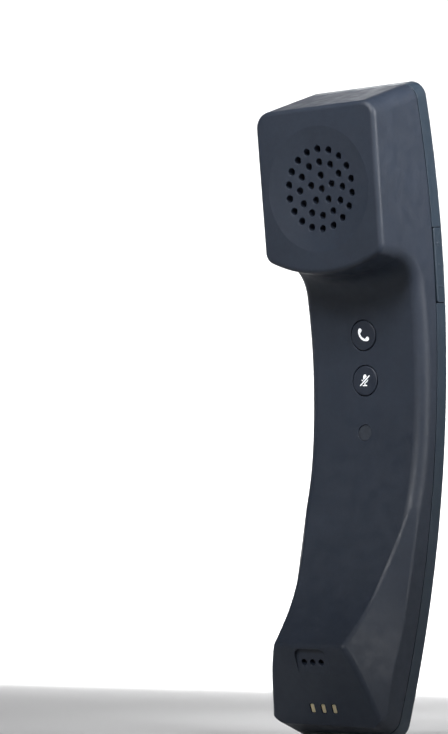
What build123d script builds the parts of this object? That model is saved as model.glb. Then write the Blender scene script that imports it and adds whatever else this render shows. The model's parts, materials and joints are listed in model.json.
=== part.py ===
from build123d import *
import os
from math import asin, atan, cos, degrees, radians, sin, sqrt, tan

# Cordless telephone handset, standing on its lower end.
# Origin: centre of the grip, half way along the handset. +Z runs up to the ear end,
# +Y leaves through the long curved outer cover, +X through the side with the volume key.

# ---- driving dimensions, mm ----
HALF_WIDTH = 22.55       # at the origin
WIDTH_TAPER = 0.009      # the half width grows by this per mm towards the ear end
BLANK_HALF = 24.5        # half width of blocks that are trimmed to the tapered sides
END_Z = 102.5            # the outer face reaches this far above and below the origin
OUTER_RADIUS = 327.5     # long arc of the outer face
GRIP_DEPTH = 6.5         # outer face to the origin
SEAM_DEPTH = 6.05        # depth of the cover's side band
SEAM_GAP = 0.45          # shadow line between the two shells
WALL = 2.0
COVER_WALL = 1.8         # thickness of the cover's side band
PLAN_CORNER = 5.0        # corner radius of the handset seen from the front
EDGE = 1.2               # rounding round the outer face

EAR_LOW = (-29.1, 40.6)  # y, z of the lowest point of the ear face
EAR_TILT = 8.4
EAR_TOP_Z = 91.6
EAR_SIDE_Z = 46.9        # the ear block's lower edge rises to this at the sides of the blank
EAR_CENTRE_Z = 66.5
UNDERCUT = 9.0           # fillet between the ear block and the grip
RIDGE = (-33.0, -74.2)   # y, z of the ridge of the mouth end
TOE = (-22.1, -98.3)     # y, z of the foot of the sloping charging face
GRIP_Y = -6.2            # shallowest point of the inner face, at z = GRIP_LOW_Z
GRIP_LOW_Z = -2.0
GRIP_CURVE = 0.0028

DISH_RADIUS = 19.5
DISH_DEPTH = 2.0
SOUND_HOLE = 1.2
SOUND_RINGS = ((5, 4.2), (12, 8.3), (18, 12.4))

KEY_RADIUS = 4.7
KEY_GAP = 0.3
KEY_TRAVEL = 0.6
KEY_PROUD = 0.25
CALL_Z = 23.4
MUTE_Z = 9.2
PLUG_Z = -7.2

ROCKER_Z = 45.2
ROCKER_DEPTH = 3.5       # middle of the volume key below the outer face
ROCKER_LENGTH = 23.4
ROCKER_WIDTH = 3.8
ROCKER_PROUD = 0.2
MARK_HEIGHT = 0.15       # raised plus, dot and minus on the volume key
ROCKER_GAP = 0.22
PIVOT_INSET = 2.6        # volume key's pin inside the side wall
PIVOT_RADIUS = 0.6

MIC_Z = -79.4
CONTACT_Z = -93.3
CONTACT_PITCH = 4.2
LAMP_Z = 78.1
LINK_Z = 87.2


# ---- geometry helpers ----
def half_width(z):
    return HALF_WIDTH + WIDTH_TAPER * z


def arc_y(z, depth=0.0):
    """y of the outer face's arc, or of the arc that runs depth below it."""
    return sqrt((OUTER_RADIUS - depth) ** 2 - z * z) - OUTER_RADIUS + GRIP_DEPTH


def ear_y(z):
    return EAR_LOW[0] - (z - EAR_LOW[1]) * tan(radians(EAR_TILT))


def grip_y(z):
    return GRIP_Y - GRIP_CURVE * (z - GRIP_LOW_Z) ** 2


def grip_tilt(z):
    return degrees(atan(2 * GRIP_CURVE * (z - GRIP_LOW_Z)))


SLOPE_TILT = degrees(atan((TOE[0] - RIDGE[0]) / (RIDGE[1] - TOE[1])))


def slope_y(z):
    return RIDGE[0] + (RIDGE[1] - z) * tan(radians(SLOPE_TILT))


def inner_plane(y, z, tilt, depth=0.0):
    """Plane on the inner side, normal outwards, local y up, sunk by depth."""
    normal = Vector(0, -cos(radians(tilt)), -sin(radians(tilt)))
    place = Vector(0, y, z) - normal * depth
    return Plane(origin=place, x_dir=(1, 0, 0), z_dir=normal)


def ear_plane(depth=0.0):
    return inner_plane(ear_y(EAR_CENTRE_Z), EAR_CENTRE_Z, EAR_TILT, depth)


def grip_plane(z, depth=0.0):
    return inner_plane(grip_y(z), z, grip_tilt(z), depth)


def slope_plane(z, depth=0.0):
    return inner_plane(slope_y(z), z, SLOPE_TILT, depth)


def outer_plane(z, depth=0.0):
    """Plane tangent to the outer face at z, normal outwards, local y up, sunk by depth."""
    lean = asin(z / OUTER_RADIUS)
    normal = Vector(0, cos(lean), sin(lean))
    place = Vector(0, arc_y(z), z) - normal * depth
    return Plane(origin=place, x_dir=(-1, 0, 0), z_dir=normal)


ROCKER_LEAN = asin(ROCKER_Z / (OUTER_RADIUS - ROCKER_DEPTH))


def rocker_plane(depth=0.0, along=0.0, across=0.0):
    """Plane on the +X side wall at the volume key: local x up the key, normal outwards."""
    up = Vector(0, -sin(ROCKER_LEAN), cos(ROCKER_LEAN))
    inward = Vector(0, -cos(ROCKER_LEAN), -sin(ROCKER_LEAN))
    place = Vector(half_width(ROCKER_Z) - depth, arc_y(ROCKER_Z, ROCKER_DEPTH), ROCKER_Z)
    return Plane(origin=place + up * along + inward * across, x_dir=up, z_dir=(1, 0, 0))


def pivot_plane(depth):
    """Plane across the volume key's pin, depth below the outer face, normal inwards."""
    key = rocker_plane(PIVOT_INSET, across=depth - ROCKER_DEPTH)
    return Plane(origin=key.origin, x_dir=(1, 0, 0), z_dir=key.y_dir)


TOP_SLOPE = (END_Z - EAR_TOP_Z) / (arc_y(END_Z) - ear_y(EAR_TOP_Z))
FOOT_SLOPE = (-END_Z - TOE[1]) / (arc_y(END_Z) - TOE[0])


def end_z(y, inset):
    """Heights of the sloping top wall and foot wall at y, moved inwards by inset."""
    top = END_Z + TOP_SLOPE * (y - arc_y(END_Z)) - inset / cos(atan(TOP_SLOPE))
    foot = -END_Z + FOOT_SLOPE * (y - arc_y(END_Z)) + inset / cos(atan(FOOT_SLOPE))
    return top, foot


FAR = 60.0


def side_outline(depth, inset, ear_inset, slope_inset):
    """Side view of everything inside the arc at depth, with its walls moved inwards."""
    ear = ear_inset / cos(radians(EAR_TILT))
    slope = slope_inset / cos(radians(SLOPE_TILT))
    centre = (GRIP_DEPTH - OUTER_RADIUS, 0)
    with BuildSketch() as sketch:
        with Locations(centre):
            Circle(OUTER_RADIUS - depth)
        with BuildSketch(mode=Mode.INTERSECT):
            with BuildLine():
                Polyline(
                    (FAR, end_z(FAR, inset)[0]),
                    (-FAR, end_z(-FAR, inset)[0]),
                    (-FAR, end_z(-FAR, inset)[1]),
                    (FAR, end_z(FAR, inset)[1]),
                    close=True,
                )
            make_face()
        with BuildSketch(mode=Mode.INTERSECT):
            with BuildLine():
                Polyline(
                    (FAR, 2 * END_Z),
                    (ear_y(2 * END_Z) + ear, 2 * END_Z),
                    (ear_y(0) + ear, 0),
                    (slope_y(0) + slope, 0),
                    (slope_y(-2 * END_Z) + slope, -2 * END_Z),
                    (FAR, -2 * END_Z),
                    close=True,
                )
            make_face()
    return sketch.sketch


def plan_blank(inset):
    """The tapered sides seen from the front, carried through the whole depth."""
    with BuildPart() as blank:
        with BuildSketch(Plane.XZ.offset(FAR)):
            with BuildLine():
                wide = half_width(2 * END_Z) - inset
                narrow = half_width(-2 * END_Z) - inset
                Polyline(
                    (-wide, 2 * END_Z), (wide, 2 * END_Z), (narrow, -2 * END_Z), (-narrow, -2 * END_Z),
                    close=True,
                )
            make_face()
        extrude(amount=-2 * FAR)
    return blank.part


def on_side_wall(edge, inset=0.0):
    ends_on_wall = all(abs(abs(v.X) - half_width(v.Z) + inset) < 0.02 for v in edge.vertices())
    return ends_on_wall and abs(edge.center().X) > HALF_WIDTH / 2


def shell_block(depth, inset, corner, ear_inset=0.0, slope_inset=0.0):
    """The outline above carried across the handset's width, with rounded end corners."""
    outline = side_outline(depth, inset, ear_inset, slope_inset)
    with BuildPart() as block:
        with BuildSketch(Plane.YZ.offset(-BLANK_HALF)):
            add(outline)
        extrude(amount=2 * BLANK_HALF)
        add(plan_blank(inset), mode=Mode.INTERSECT)
        corners = [
            e for e in block.part.edges().filter_by(GeomType.LINE)
            if on_side_wall(e, inset) and e.length > 2 and abs(e.center().Z) > 0.86 * END_Z
            and abs(e.tangent_at(0.5).Y) > 0.8
        ]
        fillet(corners, radius=corner)
    return block.part


os.makedirs("parts", exist_ok=True)
made = []


def save(piece, name):
    piece.label = name
    export_step(piece, f"parts/{name}.step")
    made.append(name)


# ---- outer cover ----
HOUSING_LIP = 2.2        # the housing's tongue reaches this far up inside the cover
LIP_THICKNESS = 0.9
LIP_GAP = 0.1
SCREW_RADIUS = 1.2
PILOT_RADIUS = 1.25
BOARD_Y = 0.6            # main board's face towards the cover
BOARD_THICKNESS = 1.2
PIN_DEPTHS = (1.1, 6.7)   # ends of the volume key's pin below the outer face
COVER_BOSS_END = -2.0    # y where the screw boss of the cover stops
COVER_BOSS_RADIUS = 3.2
PILOT_DEPTH = 4.9
LAMP_SLOT = (1.5, 4.9)
LINK_OVAL = (3.6, 5.6)
LENS_GAP = 0.05
NOTCH_CORNER = 0.8
NOTCH_TO_SEAM = 4.0      # extra width that opens the volume key's notch towards the seam
PIN_GAP = 0.05


def lamp_outline(grow=0.0):
    with BuildSketch() as sketch:
        SlotOverall(LAMP_SLOT[1] + 2 * grow, LAMP_SLOT[0] + 2 * grow, rotation=90)
    return sketch.sketch


def link_outline(grow=0.0):
    with BuildSketch() as sketch:
        Ellipse(LINK_OVAL[0] / 2 + grow, LINK_OVAL[1] / 2 + grow)
    return sketch.sketch


cover_rim = shell_block(SEAM_DEPTH - SEAM_GAP, 0, PLAN_CORNER)
cover_block = shell_block(0, 0, PLAN_CORNER)
cover_hollow = shell_block(WALL, COVER_WALL, PLAN_CORNER - COVER_WALL)

with BuildPart() as outer_cover:
    add(cover_block)
    add(cover_rim, mode=Mode.SUBTRACT)
    outer_face = outer_cover.part.faces().filter_by(
        lambda f: f.geom_type == GeomType.CYLINDER and f.area > 5000
    ).sort_by(lambda f: f.center().Y)[-1]
    fillet(outer_face.edges(), radius=EDGE)
    add(cover_hollow, mode=Mode.SUBTRACT)
    # boss for the grip's screw
    with BuildSketch(Plane.XZ.offset(-COVER_BOSS_END)) as boss:
        with Locations((0, PLUG_Z)):
            Circle(COVER_BOSS_RADIUS)
    extrude(amount=COVER_BOSS_END - arc_y(PLUG_Z, WALL) - 0.3)
    with BuildSketch(Plane.XZ.offset(-COVER_BOSS_END)) as pilot:
        with Locations((0, PLUG_Z)):
            Circle(PILOT_RADIUS)
    extrude(amount=-PILOT_DEPTH, mode=Mode.SUBTRACT)
    # windows for the two lamps
    with BuildSketch(outer_plane(LAMP_Z)):
        add(lamp_outline(LENS_GAP))
    extrude(amount=-WALL - 1, both=True, mode=Mode.SUBTRACT)
    with BuildSketch(outer_plane(LINK_Z)):
        add(link_outline(LENS_GAP))
    extrude(amount=-WALL - 1, both=True, mode=Mode.SUBTRACT)
    # notch for the volume key, open towards the seam, and a socket for its pin
    with BuildSketch(rocker_plane(COVER_WALL + 0.5)):
        with Locations((0, NOTCH_TO_SEAM / 2)):
            RectangleRounded(
                ROCKER_LENGTH + 2 * ROCKER_GAP, ROCKER_WIDTH + 2 * ROCKER_GAP + NOTCH_TO_SEAM, NOTCH_CORNER
            )
    extrude(amount=COVER_WALL + 2, mode=Mode.SUBTRACT)
    with BuildSketch(pivot_plane(PIN_DEPTHS[0] - 0.1)):
        Circle(PIVOT_RADIUS + PIN_GAP)
    extrude(amount=2, mode=Mode.SUBTRACT)
save(outer_cover.part, "outer_cover")

# ---- inner housing: grip, ear block and mouth end in one shell ----
FACETS = (
    # z, y on the side wall, half width and y at the inner edge of the side facet
    (30, -5.5, 24.1, -7.0),
    (14, -4.9, 22.3, -6.0),
    (0, -4.5, 20.8, -6.5),
    (-18, -5.5, 20.3, -7.5),
    (-34, -7.5, 19.0, -10.9),
    (-50, -10.3, 17.0, -16.1),
    (-62, -12.5, 14.9, -23.4),
    (-74, -15.7, 13.6, -32.6),
    (-87, -19.7, 13.5, -37.2),
    (-103, -24.8, 13.4, -42.1),
)
THROAT = ((-22.1, -61.0), (-15.8, -49.0), (-9.7, -32.0))  # y, z down to the mouth end


def grip_profile(inset=0.0):
    """Inner face of grip and throat in side view, closed well behind the seam."""
    points = [RIDGE] + list(THROAT) + [(grip_y(z), z) for z in (-16, -2, 12, 28, 45, 60)]
    points = [(y + inset, z) for y, z in points]
    with BuildSketch() as sketch:
        with BuildLine():
            Spline(points, tangents=[(0.66, 0.75), (-0.3, 0.95)])
            Polyline(points[-1], (20, 60), (20, -130), (points[0][0], -130), points[0])
        make_face()
    return sketch.sketch


def facet_cutter(side, shift=0.0):
    """What lies outside one side facet of the mouth end."""
    with BuildPart() as cutter:
        for z, wall_y, edge_x, edge_y in FACETS:
            wall_x = half_width(z)
            step = Vector(edge_x - wall_x, edge_y - wall_y)
            if edge_x > wall_x:
                outside = (wall_x + 2.0, wall_y + 1.0)
                along = Vector(-0.37, -0.93)
            else:
                along = step.normalized()
                outside = (wall_x - 2.0 * along.X, wall_y - 2.0 * along.Y)
            inside = (edge_x + 3.0 * along.X, edge_y + 3.0 * along.Y)
            corner = (outside[0] + 3.0, inside[1] - 8.0)
            ring = [outside, inside, (inside[0], corner[1]), corner, (corner[0], outside[1])]
            with BuildSketch(Plane.XY.offset(z)):
                with BuildLine():
                    Polyline(*[(side * (x - shift), y + shift) for x, y in ring], close=True)
                make_face()
        loft()
    return cutter.part


def ear_front(half, rise=0.0):
    """The ear block seen from the front: bowed lower edge, open above."""
    with BuildSketch() as sketch:
        with BuildLine():
            ThreePointArc((-half, EAR_SIDE_Z + rise), (0, EAR_LOW[1] + rise), (half, EAR_SIDE_Z + rise))
            Polyline((half, EAR_SIDE_Z + rise), (half, 110), (-half, 110), (-half, EAR_SIDE_Z + rise))
        make_face()
    return sketch.sketch


EAR_BLOCK_Y = (-45, 10)
SIDE_ROUND = 3.8
CREST_ROUND = 1.6        # rounding of the mouth end's ridge and of the facets' inner edges
FACET_CREST_X = 20.3     # the facets' inner edges run inside this, their outer edges beyond it
with BuildPart() as housing_form:
    with BuildSketch(Plane.YZ.offset(-BLANK_HALF)):
        add(grip_profile())
    extrude(amount=2 * BLANK_HALF)
    with BuildSketch(Plane.XZ.offset(-EAR_BLOCK_Y[1])):
        add(ear_front(BLANK_HALF))
    extrude(amount=EAR_BLOCK_Y[1] - EAR_BLOCK_Y[0])
    throat_edge = [
        e for e in housing_form.part.edges()
        if e.length > 40 and EAR_LOW[1] - 1 < e.center().Z < EAR_SIDE_Z + 1 and e.center().Y > -16
    ]
    fillet(throat_edge, radius=UNDERCUT)
    add(plan_blank(0), mode=Mode.INTERSECT)
    side_edges = [
        e for e in housing_form.part.edges()
        if on_side_wall(e) and e.length > 3 and -76 < e.center().Z < EAR_SIDE_Z + 2
        and EAR_BLOCK_Y[0] < e.center().Y < -1
    ]
    fillet(side_edges, radius=SIDE_ROUND)


SLOPE_WALL = 2.2
EAR_WALL = DISH_DEPTH + WALL
EAR_FLOOR = 2.2          # wall under the ear block's hollow
BOSS_RADIUS = 3.4
KEY_LIP = 1.15           # the housing's wall is this thick round each key
FLANGE_RADIUS = 5.5
MIC_HOLE = 1.05
MIC_PITCH = 3.25
CONTACT_SIZE = (1.3, 2.7)
SCOOP_SIZE = (12.0, 9.2)
SCOOP_CORNER = 2.4
SCOOP_FLOOR_TILT = 8.5   # its floor runs out to the surface at this angle
SCOOP_END = 3.2          # below the microphone holes
EAR_ROUND = 1.6
SLOT_GAP = 0.3
PLUG_HOLE_RADIUS = 2.6
SCREW_SEAT = 2.9         # the screw head's seat below the grip's face

with BuildPart() as housing_hollow:
    with BuildSketch(Plane.YZ.offset(-BLANK_HALF)):
        add(grip_profile(WALL))
    extrude(amount=2 * BLANK_HALF)
    with BuildSketch(Plane.XZ.offset(-20)):
        add(ear_front(BLANK_HALF, EAR_FLOOR))
    extrude(amount=65)
    add(shell_block(0, WALL, PLAN_CORNER - WALL, EAR_WALL, SLOPE_WALL), mode=Mode.INTERSECT)
    add(facet_cutter(1, WALL), mode=Mode.SUBTRACT)
    add(facet_cutter(-1, WALL), mode=Mode.SUBTRACT)

lip_inset = COVER_WALL + LIP_GAP
with BuildPart() as lip:
    add(shell_block(SEAM_DEPTH - HOUSING_LIP, lip_inset, PLAN_CORNER - lip_inset))
    add(
        shell_block(0, lip_inset + LIP_THICKNESS, PLAN_CORNER - lip_inset - LIP_THICKNESS),
        mode=Mode.SUBTRACT,
    )
    add(shell_block(SEAM_DEPTH + 1.5, 0, PLAN_CORNER), mode=Mode.SUBTRACT)
    # room for the volume key's works
    with BuildSketch(rocker_plane()):
        Rectangle(ROCKER_LENGTH + 10, 16)
    extrude(amount=-8, mode=Mode.SUBTRACT)


# scoop round the microphone holes: deepest along its upper edge, running out downwards
with BuildPart() as mic_scoop:
    with BuildSketch(slope_plane(MIC_Z)):
        RectangleRounded(*SCOOP_SIZE, SCOOP_CORNER)
    extrude(amount=2, both=True)
    scoop_end = MIC_Z - SCOOP_END
    keep = inner_plane(slope_y(scoop_end), scoop_end, SLOPE_TILT - SCOOP_FLOOR_TILT)
    split(bisect_by=keep, keep=Keep.TOP)


def ring_places(rings):
    """Centre hole and evenly turned rings of holes."""
    places = [(0, 0)]
    for count, radius in rings:
        for step in range(count):
            turn = radians(360 * step / count + 90)
            places.append((radius * cos(turn), radius * sin(turn)))
    return places


with BuildPart() as inner_housing:
    add(housing_form.part)
    add(shell_block(SEAM_DEPTH, 0, PLAN_CORNER), mode=Mode.INTERSECT)
    ear_face = inner_housing.part.faces().filter_by(
        lambda f: f.geom_type == GeomType.PLANE and f.area > 1500 and f.center().Y < -20
        and f.center().Z > 50
    ).sort_by(lambda f: f.center().Y)[0]
    fillet(ear_face.edges(), radius=EAR_ROUND)
    add(facet_cutter(1), mode=Mode.SUBTRACT)
    add(facet_cutter(-1), mode=Mode.SUBTRACT)
    ridge_edge = [
        e for e in inner_housing.part.edges()
        if e.geom_type == GeomType.LINE and abs(e.center().X) < 0.1
        and abs(e.center().Z - RIDGE[1]) < 1
    ]
    crest_edges = [
        e for e in inner_housing.part.edges()
        if e.length > 8 and e.center().Z < 0 and e.center().Y < -5
        and 8 < abs(e.center().X) < FACET_CREST_X
    ]
    fillet(ridge_edge + crest_edges, radius=CREST_ROUND)
    add(housing_hollow.part, mode=Mode.SUBTRACT)
    add(lip.part)
    # lug that holds the lower end of the volume key's pin
    with BuildSketch(rocker_plane(1.0)):
        with Locations((0, 7.1 - ROCKER_DEPTH)):
            Rectangle(5, 2.0)
    extrude(amount=-3.6)
    with BuildSketch(rocker_plane(2.0)):
        with Locations((0, 6.1 - ROCKER_DEPTH)):
            Rectangle(5, 2.0)
    extrude(amount=-2.6)
    with BuildSketch(pivot_plane(PIN_DEPTHS[1] + 0.1)):
        Circle(PIVOT_RADIUS + PIN_GAP)
    extrude(amount=-3, mode=Mode.SUBTRACT)
    # shallow round dish with its sound holes
    dish_ball = (DISH_RADIUS ** 2 + DISH_DEPTH ** 2) / (2 * DISH_DEPTH)
    dish_centre = ear_plane(DISH_DEPTH - dish_ball).origin
    with Locations(dish_centre):
        Sphere(dish_ball, mode=Mode.SUBTRACT)
    with BuildSketch(ear_plane()):
        with Locations(*ring_places(SOUND_RINGS)):
            Circle(SOUND_HOLE)
    extrude(amount=-EAR_WALL - 1, mode=Mode.SUBTRACT)
    # holes for the two keys, with room for their flanges
    for z in (CALL_Z, MUTE_Z):
        with BuildSketch(grip_plane(z)):
            Circle(KEY_RADIUS + KEY_GAP)
        extrude(amount=5, both=True, mode=Mode.SUBTRACT)
        with BuildSketch(grip_plane(z, KEY_LIP)):
            Circle(FLANGE_RADIUS + KEY_GAP)
        extrude(amount=-3, mode=Mode.SUBTRACT)
    # grip screw: a boss inside, a plug hole and a screw hole
    with BuildSketch(Plane.XZ.offset(-grip_y(PLUG_Z) - 1)):
        with Locations((0, PLUG_Z)):
            Circle(BOSS_RADIUS)
    extrude(amount=COVER_BOSS_END - 0.15 - grip_y(PLUG_Z) - 1, dir=(0, 1, 0))
    with BuildSketch(Plane.XZ.offset(-COVER_BOSS_END - 1)):
        with Locations((0, PLUG_Z)):
            Circle(SCREW_RADIUS + 0.2)
    extrude(amount=8, mode=Mode.SUBTRACT)
    with BuildSketch(Plane.XZ.offset(-grip_y(PLUG_Z) - SCREW_SEAT)):
        with Locations((0, PLUG_Z)):
            Circle(PLUG_HOLE_RADIUS)
    extrude(amount=8, mode=Mode.SUBTRACT)
    # microphone recess and its holes
    add(mic_scoop.part, mode=Mode.SUBTRACT)
    with BuildSketch(slope_plane(MIC_Z)):
        with Locations((-MIC_PITCH, 0), (0, 0), (MIC_PITCH, 0)):
            Circle(MIC_HOLE)
    extrude(amount=-SLOPE_WALL - 1, mode=Mode.SUBTRACT)
    # slots for the charging contacts
    with BuildSketch(slope_plane(CONTACT_Z)):
        with Locations((-CONTACT_PITCH, 0), (0, 0), (CONTACT_PITCH, 0)):
            RectangleRounded(CONTACT_SIZE[0] + 2 * SLOT_GAP, CONTACT_SIZE[1] + 2 * SLOT_GAP, 0.4)
    extrude(amount=-SLOPE_WALL - 1, mode=Mode.SUBTRACT)
save(inner_housing.part, "inner_housing")


# ---- keys on the grip ----
SWITCH_SIZE = 5.2
SWITCH_HEIGHT = 1.6
PLUNGER_RADIUS = 1.5
PLUNGER_HEIGHT = 0.5
KEY_CLEARANCE = 0.06     # left between a fully pressed key and its switch
BOARD_INNER_Y = BOARD_Y - BOARD_THICKNESS


def key_cap(z):
    """Round key: cap, retaining flange and a stem that stops above its switch."""
    plunger_y = BOARD_INNER_Y - SWITCH_HEIGHT - PLUNGER_HEIGHT
    stem_end = (plunger_y - grip_y(z)) * cos(radians(grip_tilt(z))) - KEY_TRAVEL - KEY_CLEARANCE - 0.25
    with BuildPart() as key:
        with BuildSketch(grip_plane(z, -KEY_PROUD)):
            Circle(KEY_RADIUS)
        extrude(amount=-KEY_PROUD - KEY_LIP - 0.1)
        fillet(key.part.edges().filter_by(GeomType.CIRCLE).sort_by(Axis.Y)[0], radius=0.35)
        with BuildSketch(grip_plane(z, KEY_LIP + 0.1)):
            Circle(FLANGE_RADIUS)
        extrude(amount=-0.7)
        with BuildSketch(grip_plane(z, KEY_LIP + 0.8)):
            Circle(PLUNGER_RADIUS)
        extrude(amount=-(stem_end - KEY_LIP - 0.8))
    return key.part


save(key_cap(CALL_Z), "call_key")
save(key_cap(MUTE_Z), "mute_key")

with BuildPart() as key_switches:
    with BuildSketch(Plane.XZ.offset(-BOARD_INNER_Y)):
        with Locations((0, CALL_Z), (0, MUTE_Z)):
            Rectangle(SWITCH_SIZE, SWITCH_SIZE)
    extrude(amount=SWITCH_HEIGHT)
    with BuildSketch(Plane.XZ.offset(-BOARD_INNER_Y + SWITCH_HEIGHT)):
        with Locations((0, CALL_Z), (0, MUTE_Z)):
            Circle(PLUNGER_RADIUS)
    extrude(amount=PLUNGER_HEIGHT)
save(key_switches.part, "key_switches")

# ---- grip screw and its plug ----
SCREW_HEAD = 2.2
SCREW_HEAD_HEIGHT = 1.2
SCREW_LENGTH = 5.4
DRIVE_SIZE = (2.6, 0.6)
DRIVE_DEPTH = 0.7
PLUG_SUNK = 0.25
PLUG_THICKNESS = 1.1
PLUG_RADIUS = 2.5
with BuildPart() as screw_plug:
    with BuildSketch(grip_plane(PLUG_Z, PLUG_SUNK)):
        Circle(PLUG_RADIUS)
    extrude(amount=-PLUG_THICKNESS)
save(screw_plug.part, "screw_plug")

head_y = grip_y(PLUG_Z) + SCREW_SEAT
with BuildPart() as grip_screw:
    with BuildSketch(Plane.XZ.offset(-head_y)):
        with Locations((0, PLUG_Z)):
            Circle(SCREW_HEAD)
    extrude(amount=SCREW_HEAD_HEIGHT)
    with BuildSketch(Plane.XZ.offset(-head_y + SCREW_HEAD_HEIGHT)):
        with Locations((0, PLUG_Z)):
            Rectangle(*DRIVE_SIZE)
            Rectangle(*reversed(DRIVE_SIZE))
    extrude(amount=-DRIVE_DEPTH, mode=Mode.SUBTRACT)
    with BuildSketch(Plane.XZ.offset(-head_y)):
        with Locations((0, PLUG_Z)):
            Circle(SCREW_RADIUS)
    extrude(amount=-SCREW_LENGTH)
save(grip_screw.part, "grip_screw")

# ---- volume key ----
web_shift = 0.1          # its inner web sits a little further from the outer face
MARK_SHIFT = 6.7         # plus above the middle of the key, minus below it
MARK_SIZE = 1.9
MARK_STROKE = 0.45
with BuildPart() as volume_key:
    with BuildSketch(rocker_plane(-ROCKER_PROUD)):
        RectangleRounded(ROCKER_LENGTH, ROCKER_WIDTH, 0.7)
    extrude(amount=-ROCKER_PROUD - COVER_WALL)
    fillet(volume_key.part.faces().sort_by(Axis.X)[-1].edges(), radius=0.18)
    # raised plus, dot and minus
    with BuildSketch(rocker_plane(-ROCKER_PROUD)):
        with Locations((MARK_SHIFT, 0)):
            Rectangle(MARK_SIZE, MARK_STROKE)
            Rectangle(MARK_STROKE, MARK_SIZE)
        with Locations((-MARK_SHIFT, 0)):
            Rectangle(MARK_STROKE, MARK_SIZE)
        Circle(MARK_STROKE * 0.75)
    extrude(amount=MARK_HEIGHT)
    with BuildSketch(rocker_plane(COVER_WALL)):
        with Locations((0, web_shift)):
            Rectangle(ROCKER_LENGTH - 3, ROCKER_WIDTH - 1.6)
    extrude(amount=-1.5)
    with BuildSketch(pivot_plane(ROCKER_DEPTH)):
        Circle(PIVOT_RADIUS + 0.06)
    extrude(amount=8, both=True, mode=Mode.SUBTRACT)
save(volume_key.part, "volume_key")

with BuildPart() as volume_pivot:
    with BuildSketch(pivot_plane(PIN_DEPTHS[0])):
        Circle(PIVOT_RADIUS)
    extrude(amount=PIN_DEPTHS[1] - PIN_DEPTHS[0])
save(volume_pivot.part, "volume_pivot")

SIDE_BOARD_INSET = 5.4
SIDE_BOARD_SIZE = (23, 3.4)
SIDE_SWITCH_SIZE = (3.6, 2.8)
SIDE_SWITCH_SHIFT = 7.5  # switches above and below the pin
SIDE_ACROSS = 0.6
with BuildPart() as volume_board:
    with BuildSketch(rocker_plane(SIDE_BOARD_INSET)):
        with Locations((0, SIDE_ACROSS)):
            Rectangle(*SIDE_BOARD_SIZE)
    extrude(amount=-0.8)
save(volume_board.part, "volume_board")

with BuildPart() as volume_switches:
    with BuildSketch(rocker_plane(SIDE_BOARD_INSET)):
        with Locations((-SIDE_SWITCH_SHIFT, SIDE_ACROSS), (SIDE_SWITCH_SHIFT, SIDE_ACROSS)):
            Rectangle(*SIDE_SWITCH_SIZE)
    extrude(amount=1.1)
save(volume_switches.part, "volume_switches")

# ---- lamps under the cover ----
LENS_SUNK = 0.08
LENS_DEPTH = 3.2
with BuildPart() as status_lens:
    with BuildSketch(outer_plane(LAMP_Z, LENS_SUNK)):
        add(lamp_outline())
    extrude(amount=-LENS_DEPTH)
save(status_lens.part, "status_lens")

with BuildPart() as link_lens:
    with BuildSketch(outer_plane(LINK_Z, LENS_SUNK)):
        add(link_outline())
    extrude(amount=-LENS_DEPTH)
save(link_lens.part, "link_lens")

LAMP_BOARD_Z = (LAMP_Z + LINK_Z) / 2
LAMP_BOARD_DEPTH = 4.9
with BuildPart() as lamp_board:
    with BuildSketch(outer_plane(LAMP_BOARD_Z, LAMP_BOARD_DEPTH)):
        RectangleRounded(14, 24, 1)
    extrude(amount=-0.8)
save(lamp_board.part, "lamp_board")

with BuildPart() as lamps:
    with BuildSketch(outer_plane(LAMP_BOARD_Z, LAMP_BOARD_DEPTH)):
        with Locations((0, LAMP_Z - LAMP_BOARD_Z), (0, LINK_Z - LAMP_BOARD_Z)):
            Rectangle(1.6, 3.2)
    extrude(amount=0.9)
save(lamps.part, "lamps")

# ---- main board ----
BOARD_Z = (-41.0, 32.5)
BOARD_HALF = 16.5
with BuildPart() as main_board:
    with BuildSketch(Plane.XZ.offset(-BOARD_Y)):
        with Locations((0, (BOARD_Z[0] + BOARD_Z[1]) / 2)):
            RectangleRounded(2 * BOARD_HALF, BOARD_Z[1] - BOARD_Z[0], 1.5)
        with Locations((0, PLUG_Z)):
            Circle(BOSS_RADIUS + 0.4, mode=Mode.SUBTRACT)
    extrude(amount=BOARD_THICKNESS)
save(main_board.part, "main_board")

with BuildPart() as radio_can:
    with BuildSketch(Plane.XZ.offset(-BOARD_INNER_Y)):
        with Locations((-6, -24)):
            RectangleRounded(14, 16, 0.8)
    extrude(amount=1.8)
save(radio_can.part, "radio_can")

CHIPS = ((9.5, -22, 7, 7, 0.9), (9, -33, 5, 4, 0.8), (-10.5, 14, 5, 6, 0.9), (-10.5, 27, 4, 6, 0.8))
with BuildPart() as board_chips:
    for x, z, width, height, thickness in CHIPS:
        with BuildSketch(Plane.XZ.offset(-BOARD_INNER_Y)):
            with Locations((x, z)):
                Rectangle(width, height)
        extrude(amount=thickness)
save(board_chips.part, "board_chips")

# ---- ear speaker ----
SPEAKER_RADIUS = 17.0
MESH_DEPTH = 0.2
GASKET_DEPTH = 0.8
speaker_front = EAR_WALL + MESH_DEPTH + GASKET_DEPTH


def turned(points, depth=0.0):
    """Ring or disc about the ear's axis; points are radius and depth below the ear face."""
    with BuildPart() as ring:
        with BuildSketch(Plane.XZ):
            with BuildLine():
                Polyline(*[(radius, -below) for radius, below in points], close=True)
            make_face()
        revolve(axis=Axis.Z)
    return ear_plane(depth).location * ring.part


def disc(radius, near, far):
    return turned([(0, near), (radius, near), (radius, far), (0, far)])


def ring(inner, outer, near, far):
    return turned([(inner, near), (outer, near), (outer, far), (inner, far)])


save(disc(15.0, EAR_WALL, EAR_WALL + MESH_DEPTH), "ear_mesh")
save(ring(14.2, SPEAKER_RADIUS, EAR_WALL + MESH_DEPTH, speaker_front), "speaker_gasket")

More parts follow.
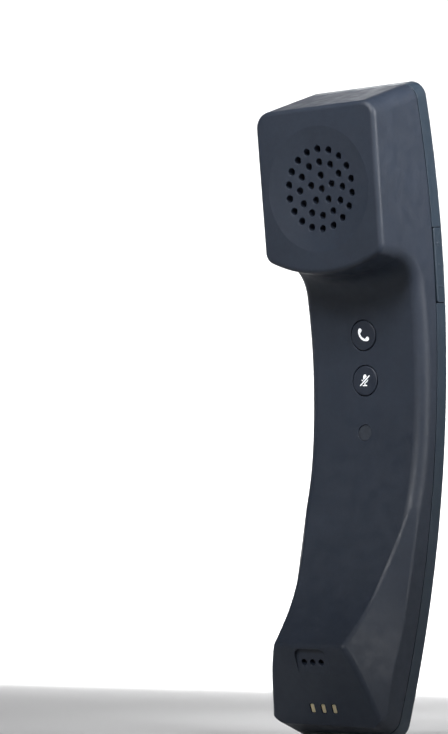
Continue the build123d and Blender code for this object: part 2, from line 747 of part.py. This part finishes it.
basket = [
    (15.4, speaker_front), (SPEAKER_RADIUS, speaker_front), (SPEAKER_RADIUS, speaker_front + 4.2),
    (6.4, speaker_front + 4.2), (6.4, speaker_front + 3.4), (15.4, speaker_front + 3.4),
]
save(turned(basket), "speaker_basket")

cone = [
    (0, speaker_front + 0.9), (5.4, speaker_front + 1.7), (13.6, speaker_front + 0.5),
    (15.35, speaker_front + 0.5), (15.35, speaker_front + 0.8), (13.6, speaker_front + 0.8),
    (5.4, speaker_front + 2.0), (0, speaker_front + 1.2),
]
save(turned(cone), "speaker_cone")
save(ring(5.3, 5.7, speaker_front + 2.0, speaker_front + 5.6), "voice_coil")

yoke = [
    (6.9, speaker_front + 4.2), (8.4, speaker_front + 4.2), (8.4, speaker_front + 9.0),
    (0, speaker_front + 9.0), (0, speaker_front + 7.8), (6.9, speaker_front + 7.8),
]
save(turned(yoke), "speaker_yoke")
save(disc(4.9, speaker_front + 4.0, speaker_front + 7.8), "speaker_magnet")

# ---- battery ----
BATTERY_Z = (-81.0, -51.0)
BATTERY_Y = (-13.8, -6.9)
battery_middle = (BATTERY_Z[0] + BATTERY_Z[1]) / 2
with BuildPart() as battery:
    with BuildSketch(Plane.XZ.offset(-BATTERY_Y[1])):
        with Locations((0, battery_middle)):
            RectangleRounded(24, BATTERY_Z[1] - BATTERY_Z[0], 1.5)
    extrude(amount=BATTERY_Y[1] - BATTERY_Y[0])
    fillet(battery.part.edges().filter_by(Axis.Z), radius=1.5)
save(battery.part, "battery")

with BuildPart() as battery_pad:
    with BuildSketch(Plane.XZ.offset(-BATTERY_Y[1] - 0.7)):
        with Locations((0, battery_middle)):
            Rectangle(20, 26)
    extrude(amount=0.7)
save(battery_pad.part, "battery_pad")

SOCKET_X = -6.0
SOCKET_SIZE = (5.4, 4.4)
SOCKET_HEIGHT = 2.6
with BuildPart() as battery_socket:
    with BuildSketch(Plane.XZ.offset(-BOARD_INNER_Y)):
        with Locations((SOCKET_X, BOARD_Z[0] + SOCKET_HEIGHT)):
            Rectangle(*SOCKET_SIZE)
    extrude(amount=SOCKET_HEIGHT)
save(battery_socket.part, "battery_socket")

# ---- microphone ----
with BuildPart() as mic_mesh:
    with BuildSketch(slope_plane(MIC_Z, SLOPE_WALL)):
        RectangleRounded(10, 3.4, 0.8)
    extrude(amount=-0.15)
save(mic_mesh.part, "mic_mesh")

with BuildPart() as mic_boot:
    with BuildSketch(slope_plane(MIC_Z, SLOPE_WALL + 0.15)):
        RectangleRounded(12, 6.4, 1.6)
    extrude(amount=-3.6)
    with BuildSketch(slope_plane(MIC_Z, SLOPE_WALL + 0.15)):
        RectangleRounded(9.2, 2.4, 0.8)
    extrude(amount=-0.8, mode=Mode.SUBTRACT)
    with BuildSketch(slope_plane(MIC_Z, SLOPE_WALL + 0.95)):
        Circle(2.0)
    extrude(amount=-3, mode=Mode.SUBTRACT)
save(mic_boot.part, "mic_boot")

with BuildPart() as microphone:
    with BuildSketch(slope_plane(MIC_Z, SLOPE_WALL + 1.1)):
        Circle(2.0)
    extrude(amount=-1.9)
save(microphone.part, "microphone")

# ---- charging contacts ----
CONTACT_SUNK = 0.25
CARRIER_DEPTH = 2.0
contact_places = [(-CONTACT_PITCH, 0), (0, 0), (CONTACT_PITCH, 0)]
with BuildPart() as charge_contacts:
    with BuildSketch(slope_plane(CONTACT_Z, CONTACT_SUNK)):
        with Locations(*contact_places):
            RectangleRounded(*CONTACT_SIZE, 0.3)
    extrude(amount=-(SLOPE_WALL + CARRIER_DEPTH - CONTACT_SUNK))
save(charge_contacts.part, "charge_contacts")

with BuildPart() as contact_carrier:
    with BuildSketch(slope_plane(CONTACT_Z, SLOPE_WALL)):
        RectangleRounded(14.4, 4.6, 0.8)
        with Locations(*contact_places):
            RectangleRounded(*CONTACT_SIZE, 0.3, mode=Mode.SUBTRACT)
    extrude(amount=-CARRIER_DEPTH)
save(contact_carrier.part, "contact_carrier")

with BuildPart() as charge_board:
    with BuildSketch(slope_plane(CONTACT_Z, SLOPE_WALL + CARRIER_DEPTH)):
        Rectangle(15, 5.0)
    extrude(amount=-0.8)
save(charge_board.part, "charge_board")
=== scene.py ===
import bpy
import json
import math
from mathutils import Euler, Matrix, Vector

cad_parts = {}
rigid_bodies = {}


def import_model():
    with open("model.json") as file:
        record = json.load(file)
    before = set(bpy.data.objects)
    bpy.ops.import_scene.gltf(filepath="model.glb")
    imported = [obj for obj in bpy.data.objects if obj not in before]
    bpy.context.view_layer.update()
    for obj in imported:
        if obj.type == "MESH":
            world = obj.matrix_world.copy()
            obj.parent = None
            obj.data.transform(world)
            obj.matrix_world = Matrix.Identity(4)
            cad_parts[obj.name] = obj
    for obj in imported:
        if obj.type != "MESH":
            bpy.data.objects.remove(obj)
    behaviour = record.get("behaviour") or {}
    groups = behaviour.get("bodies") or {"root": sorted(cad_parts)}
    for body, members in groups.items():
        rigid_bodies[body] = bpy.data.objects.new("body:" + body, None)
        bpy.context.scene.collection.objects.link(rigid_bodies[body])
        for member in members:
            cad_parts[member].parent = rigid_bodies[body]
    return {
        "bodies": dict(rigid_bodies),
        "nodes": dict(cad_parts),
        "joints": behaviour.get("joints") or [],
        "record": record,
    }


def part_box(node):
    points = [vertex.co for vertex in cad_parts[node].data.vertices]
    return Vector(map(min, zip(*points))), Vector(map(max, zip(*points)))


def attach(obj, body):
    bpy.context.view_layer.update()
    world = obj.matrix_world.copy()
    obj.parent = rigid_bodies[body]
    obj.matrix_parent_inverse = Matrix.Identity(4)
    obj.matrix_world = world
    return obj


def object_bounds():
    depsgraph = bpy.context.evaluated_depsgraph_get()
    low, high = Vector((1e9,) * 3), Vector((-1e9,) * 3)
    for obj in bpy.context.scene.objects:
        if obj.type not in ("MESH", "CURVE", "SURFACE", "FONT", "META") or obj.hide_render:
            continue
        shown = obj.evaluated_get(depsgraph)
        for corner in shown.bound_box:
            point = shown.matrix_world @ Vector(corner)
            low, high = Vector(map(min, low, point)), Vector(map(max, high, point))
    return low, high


MM = 0.001

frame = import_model()
NODES = frame["nodes"]
JOINTS = {joint["name"]: joint for joint in frame["joints"]}
COVER_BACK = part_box("outer_cover")[1].y
LENS_LOW, LENS_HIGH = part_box("link_lens")

kept_objects = list(NODES.values()) + list(frame["bodies"].values())
for stray in [thing for thing in bpy.data.objects if thing not in kept_objects]:
    bpy.data.objects.remove(stray)
CAD_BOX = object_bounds()


# ---- material helpers ----
FLAT_COSINE = 0.995      # a surface turned less than this from its rounded normal counts as flat
EDGE_COSINE = 0.80       # and one turned this far counts as an edge


class Shader:
    """A node material with a Principled surface and short ways to add the usual detail."""

    def __init__(self, name, colour, roughness, metallic=0.0, coat=0.0, specular=0.5):
        self.material = bpy.data.materials.new(name)
        self.material.use_nodes = True
        self.tree = self.material.node_tree
        self.surface = self.tree.nodes["Principled BSDF"]
        self.surface.inputs["Base Color"].default_value = (*colour, 1)
        self.surface.inputs["Roughness"].default_value = roughness
        self.surface.inputs["Metallic"].default_value = metallic
        self.surface.inputs["Coat Weight"].default_value = coat
        self.surface.inputs["Specular IOR Level"].default_value = specular
        self.position = self.node("ShaderNodeTexCoord").outputs["Object"]
        self.normal = None

    def node(self, kind, **values):
        """A new node; each value is one of its settings or, if it has none of that name, an input."""
        made = self.tree.nodes.new(kind)
        for key, value in values.items():
            if hasattr(made, key):
                setattr(made, key, value)
            else:
                made.inputs[key.replace("_", " ")].default_value = value
        return made

    def link(self, source, target):
        self.tree.links.new(source, target)

    def noise(self, scale, detail=3.0, roughness=0.5):
        noise = self.node("ShaderNodeTexNoise", Scale=scale, Detail=detail, Roughness=roughness)
        self.link(self.position, noise.inputs["Vector"])
        return noise.outputs["Fac"]

    def ramp(self, source, low, high, low_value=0.0, high_value=1.0):
        """A number that goes from low_value to high_value while source goes from low to high."""
        ramp = self.node("ShaderNodeMapRange", interpolation_type="SMOOTHSTEP")
        ramp.inputs["From Min"].default_value = low
        ramp.inputs["From Max"].default_value = high
        ramp.inputs["To Min"].default_value = low_value
        ramp.inputs["To Max"].default_value = high_value
        self.link(source, ramp.inputs["Value"])
        return ramp.outputs["Result"]

    def patches(self, scale, low, high, detail=3.0):
        """Soft patches, 0 to 1, where noise of this scale rises from low to high."""
        return self.ramp(self.noise(scale, detail=detail), low, high)

    def edges(self, radius):
        """0 on open faces, towards 1 on edges sharper than radius."""
        bevel = self.node("ShaderNodeBevel", samples=4, Radius=radius)
        geometry = self.node("ShaderNodeNewGeometry")
        dot = self.node("ShaderNodeVectorMath", operation="DOT_PRODUCT")
        self.link(bevel.outputs["Normal"], dot.inputs[0])
        self.link(geometry.outputs["Normal"], dot.inputs[1])
        return self.ramp(dot.outputs["Value"], FLAT_COSINE, EDGE_COSINE)

    def tint(self, factor, colour, share):
        """Mixes colour into the base colour where factor is high, up to the given share."""
        mix = self.node("ShaderNodeMix", data_type="RGBA", blend_type="MIX")
        scaled = self.node("ShaderNodeMath", operation="MULTIPLY")
        scaled.inputs[1].default_value = share
        self.link(factor, scaled.inputs[0])
        self.link(scaled.outputs[0], mix.inputs["Factor"])
        base = self.surface.inputs["Base Color"]
        if base.is_linked:
            self.link(base.links[0].from_socket, mix.inputs["A"])
        else:
            mix.inputs["A"].default_value = base.default_value
        mix.inputs["B"].default_value = (*colour, 1)
        self.link(mix.outputs["Result"], base)

    def vary_roughness(self, factor, low, high):
        self.link(self.ramp(factor, 0.3, 0.7, low, high), self.surface.inputs["Roughness"])

    def bump(self, height, strength, distance):
        bump = self.node("ShaderNodeBump", Strength=strength, Distance=distance)
        self.link(height, bump.inputs["Height"])
        if self.normal is not None:
            self.link(self.normal, bump.inputs["Normal"])
        self.normal = bump.outputs["Normal"]
        self.link(self.normal, self.surface.inputs["Normal"])

    def soften_edges(self, radius):
        """Starts the surface normal from edges rounded by radius."""
        bevel = self.node("ShaderNodeBevel", samples=6, Radius=radius)
        self.normal = bevel.outputs["Normal"]
        self.link(self.normal, self.surface.inputs["Normal"])

    def glow(self, colour, strength):
        self.surface.inputs["Emission Color"].default_value = (*colour, 1)
        self.surface.inputs["Emission Strength"].default_value = strength


def shade(colour, factor):
    return tuple(min(1.0, channel * factor) for channel in colour)


def moulded_plastic(name, colour, roughness, grain, grain_depth, edge_round=0.35 * MM):
    """Moulded plastic: fine spark-eroded grain, faint flow mottling, and a painted highlight that makes
    the edges paler.
    """
    s = Shader(name, colour, roughness, specular=0.45)
    s.soften_edges(edge_round)
    s.tint(s.patches(90.0, 0.42, 0.72, detail=4.0), shade(colour, 1.22), share=0.45)
    s.tint(s.patches(grain * 0.55, 0.45, 0.68, detail=2.0), shade(colour, 1.35), share=0.22)
    # painted highlight: the edges are tinted paler on every side, whatever the light
    s.tint(s.edges(0.7 * MM), shade(colour, 1.9), share=0.45)
    s.vary_roughness(s.noise(260.0, detail=3.0), roughness - 0.05, roughness + 0.07)
    s.bump(s.noise(grain, detail=2.5, roughness=0.6), 0.55, grain_depth)
    return s.material


def soft_rubber(name, colour):
    """Matt rubber or film with a dusty fine grain."""
    s = Shader(name, colour, 0.72, specular=0.3)
    s.soften_edges(0.2 * MM)
    s.tint(s.patches(600.0, 0.45, 0.7), shade(colour, 1.6), share=0.35)
    s.bump(s.noise(2600.0, detail=3.0), 0.5, 0.03 * MM)
    return s.material


def lit_lens(name, colour, core, strength):
    """Resin lens over a lamp: it glows in the lamp's colour through a moulded grain."""
    s = Shader(name, colour, 0.22, coat=0.6)
    s.glow(core, strength)
    s.tint(s.patches(900.0, 0.4, 0.7), shade(core, 0.8), share=0.5)
    s.vary_roughness(s.noise(700.0), 0.16, 0.34)
    return s.material


def metal(name, colour, roughness):
    """Plated metal, brushed along z, with darker worn patches."""
    patch_scale, brush_scale, brush_stretch = 900.0, 3600.0, 0.08
    s = Shader(name, colour, roughness, metallic=1.0)
    s.soften_edges(0.12 * MM)
    stretch = s.node("ShaderNodeMapping")
    stretch.inputs["Scale"].default_value = (1.0, 1.0, brush_stretch)
    s.link(s.position, stretch.inputs["Vector"])
    brush = s.node("ShaderNodeTexNoise", Scale=brush_scale, Detail=3.0)
    s.link(stretch.outputs["Vector"], brush.inputs["Vector"])
    s.tint(s.patches(patch_scale, 0.4, 0.7), shade(colour, 0.72), share=0.4)
    s.vary_roughness(brush.outputs["Fac"], roughness - 0.08, roughness + 0.12)
    s.bump(brush.outputs["Fac"], 0.25, 0.01 * MM)
    return s.material


def circuit_board(name):
    """Solder mask over copper tracks that show as faint raised lines, with a few tinned pads."""
    mask_green, track_green, tinned = (0.012, 0.085, 0.045), (0.05, 0.22, 0.10), (0.62, 0.50, 0.22)
    s = Shader(name, mask_green, 0.34, coat=0.3)
    tracks = s.node("ShaderNodeTexBrick", Scale=420.0, Mortar_Size=0.06)
    s.link(s.position, tracks.inputs["Vector"])
    lines = tracks.outputs["Fac"]
    s.tint(lines, track_green, share=0.8)
    s.tint(s.patches(500.0, 0.62, 0.66), tinned, share=0.7)
    s.bump(lines, 0.4, 0.03 * MM)
    return s.material


def woven_mesh(name, colour):
    """Fine acoustic cloth: two crossing sets of threads."""
    s = Shader(name, colour, 0.8)
    threads = []
    for direction in ("X", "Z"):
        wave = s.node("ShaderNodeTexWave", bands_direction=direction, Scale=1400.0)
        s.link(s.position, wave.inputs["Vector"])
        threads.append(wave.outputs["Fac"])
    both = s.node("ShaderNodeMath", operation="MULTIPLY")
    s.link(threads[0], both.inputs[0])
    s.link(threads[1], both.inputs[1])
    s.tint(both.outputs[0], shade(colour, 3.5), share=0.8)
    s.bump(both.outputs[0], 0.8, 0.05 * MM)
    return s.material


def glowing_print_ink(name, colour):
    """Opaque print; a small glow, which is painted light because the print is no lamp, keeps it readable
    in the shade.
    """
    s = Shader(name, colour, 0.5)
    # painted light: the print glows although it is no lamp
    s.glow(colour, 0.5)
    s.tint(s.patches(1500.0, 0.45, 0.7), shade(colour, 0.82), share=0.5)
    s.bump(s.noise(3000.0), 0.3, 0.005 * MM)
    return s.material


# ---- materials of the CAD pieces, by the record's material slots ----
COVER_COLOUR = (0.024, 0.036, 0.052)
HOUSING_COLOUR = (0.019, 0.026, 0.041)
KEY_COLOUR = (0.017, 0.023, 0.037)
GREEN_LENS, GREEN_GLOW = (0.20, 0.62, 0.10), (0.30, 0.95, 0.10)
BLUE_LENS, BLUE_GLOW = (0.03, 0.24, 0.62), (0.02, 0.30, 0.95)
LAMP_RESIN, LAMP_GLOW = (0.8, 0.8, 0.75), (0.9, 0.95, 0.8)

MATERIALS = {
    "cover_plastic": moulded_plastic("cover_satin", COVER_COLOUR, 0.40, 2200.0, 0.006 * MM),
    "housing_plastic": moulded_plastic("housing_grain", HOUSING_COLOUR, 0.50, 1500.0, 0.016 * MM),
    "key_plastic": moulded_plastic("key_matt", KEY_COLOUR, 0.46, 2400.0, 0.006 * MM, 0.15 * MM),
    "plug_rubber": soft_rubber("plug_rubber", (0.030, 0.036, 0.048)),
    "status_light": lit_lens("status_green", GREEN_LENS, GREEN_GLOW, 1.4),
    "link_light": lit_lens("link_blue", BLUE_LENS, BLUE_GLOW, 1.1),
    "board": circuit_board("board_green"),
    "chip": moulded_plastic("chip_black", (0.018, 0.018, 0.020), 0.5, 3000.0, 0.01 * MM, 0.1 * MM),
    "shield": metal("shield_tin", (0.66, 0.67, 0.68), 0.34),
    "switch": moulded_plastic("switch_black", (0.03, 0.03, 0.033), 0.45, 2600.0, 0.008 * MM, 0.1 * MM),
    "lamp": lit_lens("lamp_resin", LAMP_RESIN, LAMP_GLOW, 0.6),
    "fabric_mesh": woven_mesh("acoustic_cloth", (0.012, 0.012, 0.014)),
    "foam": soft_rubber("closed_foam", (0.035, 0.035, 0.037)),
    "speaker_frame": moulded_plastic(
        "speaker_black", (0.02, 0.02, 0.022), 0.4, 2400.0, 0.008 * MM, 0.15 * MM),
    "speaker_film": soft_rubber("speaker_film", (0.30, 0.23, 0.12)),
    "copper": metal("copper_wire", (0.80, 0.42, 0.24), 0.3),
    "steel": metal("plated_steel", (0.58, 0.58, 0.60), 0.32),
    "battery_wrap": moulded_plastic(
        "battery_foil", (0.42, 0.44, 0.47), 0.32, 900.0, 0.03 * MM, 0.2 * MM),
    "gold": metal("gold_plate", (1.0, 0.88, 0.58), 0.42),
    "socket": moulded_plastic("socket_nylon", (0.72, 0.70, 0.62), 0.5, 2000.0, 0.01 * MM, 0.1 * MM),
}
GLOWING_WHITE_INK = glowing_print_ink("white_ink_with_painted_glow", (0.86, 0.88, 0.90))
GLOWING_PALE_BLUE = glowing_print_ink("pale_blue_ink_with_painted_glow", (0.25, 0.55, 0.85))

SLOT_OF = {part["node"]: part["material_slot"] for part in frame["record"]["subparts"]}
for node_name, node_object in NODES.items():
    for slot in node_object.material_slots:
        slot.material = MATERIALS[SLOT_OF[node_name]]


# ---- outlines of the printed marks, in millimetres; angles in degrees, anticlockwise from +x ----
CORNER_STEPS = 6
STROKE_STEPS = 14


def arc_points(radius, start, end, steps, centre=(0.0, 0.0)):
    points = []
    for step in range(steps + 1):
        angle = math.radians(start + (end - start) * step / steps)
        points.append((centre[0] + radius * math.cos(angle), centre[1] + radius * math.sin(angle)))
    return points


def turned(outline, turn, centre=(0.0, 0.0)):
    """The outline turned about the origin, then moved to centre."""
    c, s = math.cos(math.radians(turn)), math.sin(math.radians(turn))
    return [(centre[0] + x * c - y * s, centre[1] + x * s + y * c) for x, y in outline]


def bar(centre, width, height, turn=0.0, corner=None):
    """A bar with rounded ends, or with the given corner radius."""
    corner = min(width, height) / 2 if corner is None else corner
    outline = []
    for side, end, start in ((1, 1, 0), (-1, 1, 90), (-1, -1, 180), (1, -1, 270)):
        middle = (side * (width / 2 - corner), end * (height / 2 - corner))
        outline += arc_points(corner, start, start + 90, CORNER_STEPS, middle)
    return turned(outline, turn, centre)


def arc_band(radius, width, start, end, centre=(0.0, 0.0)):
    """A curved stroke."""
    outer = arc_points(radius + width / 2, start, end, STROKE_STEPS, centre)
    inner = arc_points(radius - width / 2, end, start, STROKE_STEPS, centre)
    return outer + inner


def handset_glyph():
    """A telephone handset: a thin curved handle with a thicker cap at each end."""
    hub = (1.6, 0.0)
    back = arc_points(3.0, 125, 235, 16, hub)
    lower_cap = [(0.45, -2.62), (0.95, -2.25), (0.95, -1.55), (0.55, -1.3)]
    front = arc_points(2.3, 214, 146, 12, hub)
    upper_cap = [(x, -y) for x, y in reversed(lower_cap)]
    return turned(back + lower_cap + front + upper_cap, 45)


def microphone_glyph():
    """A microphone in its cradle, on a foot."""
    return [
        bar((0, 0.8), 1.25, 2.3),
        arc_band(1.15, 0.3, 190, 350, (0, 0.55)),
        bar((0, -1.05), 0.36, 0.8, corner=0.05),
        bar((0, -1.55), 1.7, 0.34),
    ]


# ---- printed marks ----
PRINT = 0.03 * MM        # thickness of a print
SUNK = 0.05 * MM         # its base lies this far inside the surface
LAYER = 0.004 * MM       # shapes of one mark that overlap differ by this in height


def mark(name, outlines, face, body, material, lift=0.0):
    """Flat shapes printed on a face, which is its middle point and its directions right and up."""
    place, right, up = face
    out = right.cross(up)
    vertices, faces = [], []
    for layer, outline in enumerate(outlines):
        base = len(vertices)
        count = len(outline)
        for level in (-SUNK, PRINT + layer * LAYER):
            for x, y in outline:
                vertices.append(place + right * x * MM + up * y * MM + out * (level + lift))
        faces.append(list(range(base + count, base + 2 * count)))
        faces.append(list(range(base + count - 1, base - 1, -1)))
        for i in range(count):
            j = (i + 1) % count
            faces.append([base + i, base + j, base + count + j, base + count + i])
    mesh = bpy.data.meshes.new(name)
    mesh.from_pydata(vertices, [], faces)
    mesh.update()
    mesh.materials.append(material)
    piece = bpy.data.objects.new(name, mesh)
    bpy.context.scene.collection.objects.link(piece)
    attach(piece, body)


def key_face(node, joint):
    """Middle of a key's outer surface, and the directions right and up as the user sees them."""
    out = -Vector(JOINTS[joint]["axis"]).normalized()
    right = Vector((1, 0, 0))
    vertices = [vertex.co for vertex in NODES[node].data.vertices]
    height = max(vertex.dot(out) for vertex in vertices)
    top = [vertex for vertex in vertices if height - vertex.dot(out) < 0.01 * MM]
    return sum(top, Vector()) / len(top), right, out.cross(right)


OUTER_RADIUS = 327.5 * MM    # long arc of the outer face, as in the CAD


def outer_face(z):
    """Point of the outer face on its middle line, with the directions right and up."""
    arc_centre = COVER_BACK - OUTER_RADIUS
    reach = math.sqrt(OUTER_RADIUS ** 2 - z * z)
    out = Vector((0, reach, z)).normalized()
    right = Vector((-1, 0, 0))
    return Vector((0, arc_centre + reach, z)), right, out.cross(right)


call_face = key_face("call_key", "call_press")
mark("call_symbol", [handset_glyph()], call_face, "call_key", GLOWING_WHITE_INK)

# the crossing stroke stands on a wider stroke in the key's colour, which cuts the microphone
SLASH_TURN = -50
SLASH_LIFT = 0.02 * MM
mute_face = key_face("mute_key", "mute_press")
gap = bar((0, 0), 1.0, 4.7, SLASH_TURN)
slash = bar((0, 0), 0.4, 4.9, SLASH_TURN)
mark("mute_symbol", microphone_glyph(), mute_face, "mute_key", GLOWING_WHITE_INK)
mark("mute_gap", [gap], mute_face, "mute_key", MATERIALS["key_plastic"], SLASH_LIFT)
mark("mute_slash", [slash], mute_face, "mute_key", GLOWING_WHITE_INK, 2 * SLASH_LIFT)

# five upright bars, like a sound level
BARS_Z = -74.5 * MM
BAR_HEIGHTS = (2.6, 5.0, 7.4, 4.4, 2.2)
BAR_PITCH = 3.0
BAR_WIDTH = 1.5
bars = []
for index, height in enumerate(BAR_HEIGHTS):
    bars.append(bar(((index - 2) * BAR_PITCH, 0), BAR_WIDTH, height))
mark("sound_bars", bars, outer_face(BARS_Z), "handset", GLOWING_WHITE_INK)

# a dot and two waves on the lens of the link lamp
DOT_Y = -1.3
LENS_RECESS = 0.07 * MM  # the lens lies this far below the outer face
waves = [
    bar((0, DOT_Y), 0.7, 0.7),
    arc_band(1.3, 0.36, 45, 135, (0, DOT_Y)),
    arc_band(2.2, 0.36, 52, 128, (0, DOT_Y)),
]
lens_face = outer_face((LENS_LOW.z + LENS_HIGH.z) / 2)
mark("link_waves", waves, lens_face, "handset", GLOWING_PALE_BLUE, -LENS_RECESS)


# ---- camera ----
CAMERA_YAW = 40.09
CAMERA_PITCH = 5.57
CAMERA_ROLL = 1.47
CAMERA_PLACE = Vector((0.5205, -0.6941, -0.0716))
CAMERA_LENS = 134.8
SENSOR_WIDTH = 36.0


def add_camera():
    data = bpy.data.cameras.new("camera")
    data.lens = CAMERA_LENS
    data.sensor_width = SENSOR_WIDTH
    data.clip_start = 0.05
    data.clip_end = 20.0
    camera = bpy.data.objects.new("camera", data)
    aim = Euler((math.radians(90 + CAMERA_PITCH), 0, math.radians(CAMERA_YAW))).to_matrix()
    aim = aim @ Matrix.Rotation(math.radians(CAMERA_ROLL), 3, "Z")
    camera.matrix_world = Matrix.Translation(CAMERA_PLACE) @ aim.to_4x4()
    bpy.context.scene.collection.objects.link(camera)
    bpy.context.scene.camera = camera


# ---- floor and backdrop ----
FLOOR_Z = CAD_BOX[0].z - 0.3 * MM
FLOOR_FRONT = 2.2        # the floor reaches this far towards the camera's side
FLOOR_BACK = 1.2         # and this far behind the object, where it begins to curve up
FLOOR_HALF = 3.0
SWEEP_RADIUS = 0.5
SWEEP_STEPS = 12
BACKDROP_HEIGHT = 2.4
PAPER = (0.6, 0.6, 0.605)


def cyclorama():
    """Pale floor that sweeps up into a backdrop behind the object."""
    profile = [(-FLOOR_FRONT, FLOOR_Z)]
    for step in range(SWEEP_STEPS + 1):
        angle = math.radians(90 * step / SWEEP_STEPS)
        along = FLOOR_BACK + SWEEP_RADIUS * math.sin(angle)
        profile.append((along, FLOOR_Z + SWEEP_RADIUS * (1 - math.cos(angle))))
    profile.append((FLOOR_BACK + SWEEP_RADIUS, FLOOR_Z + BACKDROP_HEIGHT))
    turn = Matrix.Rotation(math.radians(CAMERA_YAW), 3, "Z")
    vertices = []
    for along, height in profile:
        for side in (-FLOOR_HALF, FLOOR_HALF):
            vertices.append(turn @ Vector((side, along, height)))
    faces = [[2 * i, 2 * i + 1, 2 * i + 3, 2 * i + 2] for i in range(len(profile) - 1)]
    mesh = bpy.data.meshes.new("studio_floor")
    mesh.from_pydata(vertices, [], faces)
    mesh.polygons.foreach_set("use_smooth", [True] * len(faces))
    floor = bpy.data.objects.new("studio_floor", mesh)
    bpy.context.scene.collection.objects.link(floor)
    paper = Shader("studio_paper", PAPER, 0.9, specular=0.1)
    paper.bump(paper.noise(120.0), 0.1, 0.1 * MM)
    mesh.materials.append(paper.material)


# ---- light ----
BEHIND = CAMERA_YAW + 180    # the yaw of the side that the camera doesn't see
AIR_COLOUR = (0.93, 0.96, 1.0)
AIR_STRENGTH = 0.07


def compass(yaw, pitch):
    """Unit vector out from the object; yaw 0 is towards -Y and 90 towards +X, in degrees."""
    a, e = math.radians(yaw), math.radians(pitch)
    return Vector((math.sin(a) * math.cos(e), -math.cos(a) * math.cos(e), math.sin(e)))


def softbox(name, yaw, pitch, distance, size, power, spread, target_z=0.0, aim=None):
    """Soft light that looks at the height target_z of the z axis, or along aim, with a beam of spread."""
    back = compass(yaw, pitch)
    data = bpy.data.lights.new(name, "AREA")
    data.shape = "RECTANGLE"
    data.size, data.size_y = size
    data.energy = power
    data.spread = math.radians(spread)
    light = bpy.data.objects.new(name, data)
    light.location = back * distance + Vector((0, 0, target_z))
    light.rotation_mode = "QUATERNION"
    light.rotation_quaternion = (-back if aim is None else aim).to_track_quat("-Z", "Y")
    bpy.context.scene.collection.objects.link(light)


def light_object():
    """Narrow beams that miss most of the floor, so little light comes up from below."""
    softbox("front_light", 8, 31, 0.6, (0.26, 0.26), 0.135, spread=24, target_z=20 * MM)
    softbox("side_light", 100, 15, 0.5, (0.2, 0.2), 0.066, spread=40, target_z=20 * MM)
    softbox("ear_side_light", 82, 22, 0.22, (0.1, 0.1), 0.076, spread=60, target_z=70 * MM)
    softbox("ear_light", 26, 40, 0.3, (0.1, 0.1), 0.034, spread=24, target_z=85 * MM)
    softbox("rear_light", 205, 14, 1.5, (0.8, 1.0), 3.2, spread=50)


def light_stage():
    """A wide lamp for the backdrop, and a ring of lamps that look straight down at the floor."""
    outward = compass(BEHIND, 0) + Vector((0, 0, -0.4))
    softbox("backdrop_light", BEHIND, 30, 0.7, (1.8, 0.3), 18, spread=120, aim=outward)
    down = Vector((0, 0, -1))
    for turn in range(0, 360, 60):
        name = f"floor_light_{turn}"
        softbox(name, CAMERA_YAW + turn, 45, 1.7, (0.8, 0.8), 5.2, spread=62, aim=down)


def fill_air():
    world = bpy.data.worlds.new("studio_air")
    world.use_nodes = True
    background = world.node_tree.nodes["Background"]
    background.inputs["Color"].default_value = (*AIR_COLOUR, 1)
    background.inputs["Strength"].default_value = AIR_STRENGTH
    bpy.context.scene.world = world


add_camera()
cyclorama()
light_object()
light_stage()
fill_air()
bpy.context.scene.view_settings.view_transform = "Standard"
